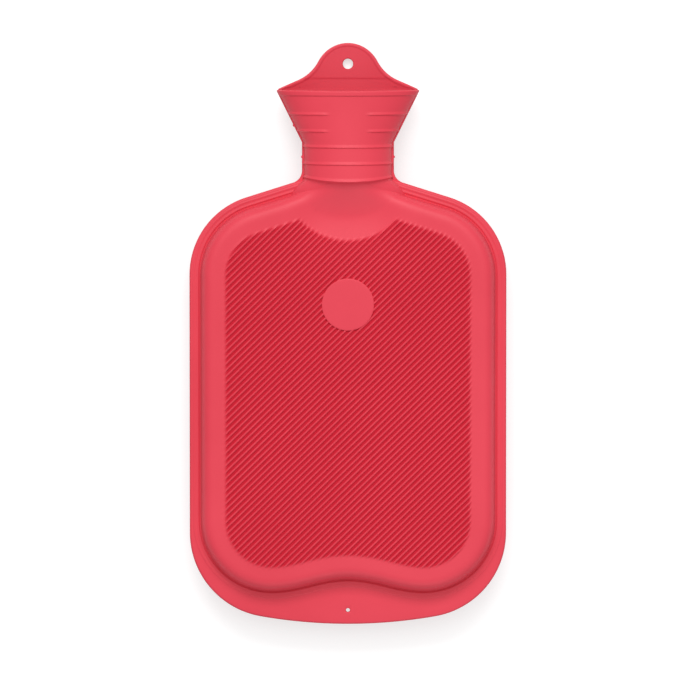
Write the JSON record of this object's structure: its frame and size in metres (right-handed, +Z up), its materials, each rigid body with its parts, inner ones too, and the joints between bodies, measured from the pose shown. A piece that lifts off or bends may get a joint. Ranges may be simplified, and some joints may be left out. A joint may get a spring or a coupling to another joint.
{
  "type": "hot water bottle",
  "caption": "Ribbed rubber hot water bottle with a filling funnel, a hanging tab and a screw stopper that unscrews and lifts out.",
  "frame": {"origin": "centre of the flat that the bottle lies on, in the middle of its outline", "axes": "+X across the bag, +Y along it from the flap to the hanging tab, +Z up from its smooth back to its ribbed front"},
  "size_m": [0.2, 0.367, 0.0413],
  "materials": {
    "red_rubber": "satin moulded rubber",
    "insert_plastic": "satin",
    "stopper_plastic": "semi-gloss moulded",
    "washer_rubber": "matte"
  },
  "bodies": {
    "bottle": {"bottle": "red_rubber", "neck_insert": "insert_plastic"},
    "washer": {"washer": "washer_rubber"},
    "stopper": {"stopper": "stopper_plastic"}
  },
  "joints": [
    {"name": "stopper_rise", "type": "slide", "parent": "bottle", "child": "washer", "axis": [0, 1, 0], "range_m": [0, 0.0525]},
    {"name": "stopper_turn", "type": "hinge", "parent": "washer", "child": "stopper", "pos_m": [0, 0.1205, 0.021], "axis": [0, 1, 0], "range_deg": [0, 3780]}
  ],
  "couplings": [
    {"joint": "stopper_rise", "follows": "stopper_turn", "m_per_rad": 0.00079577}
  ]
}
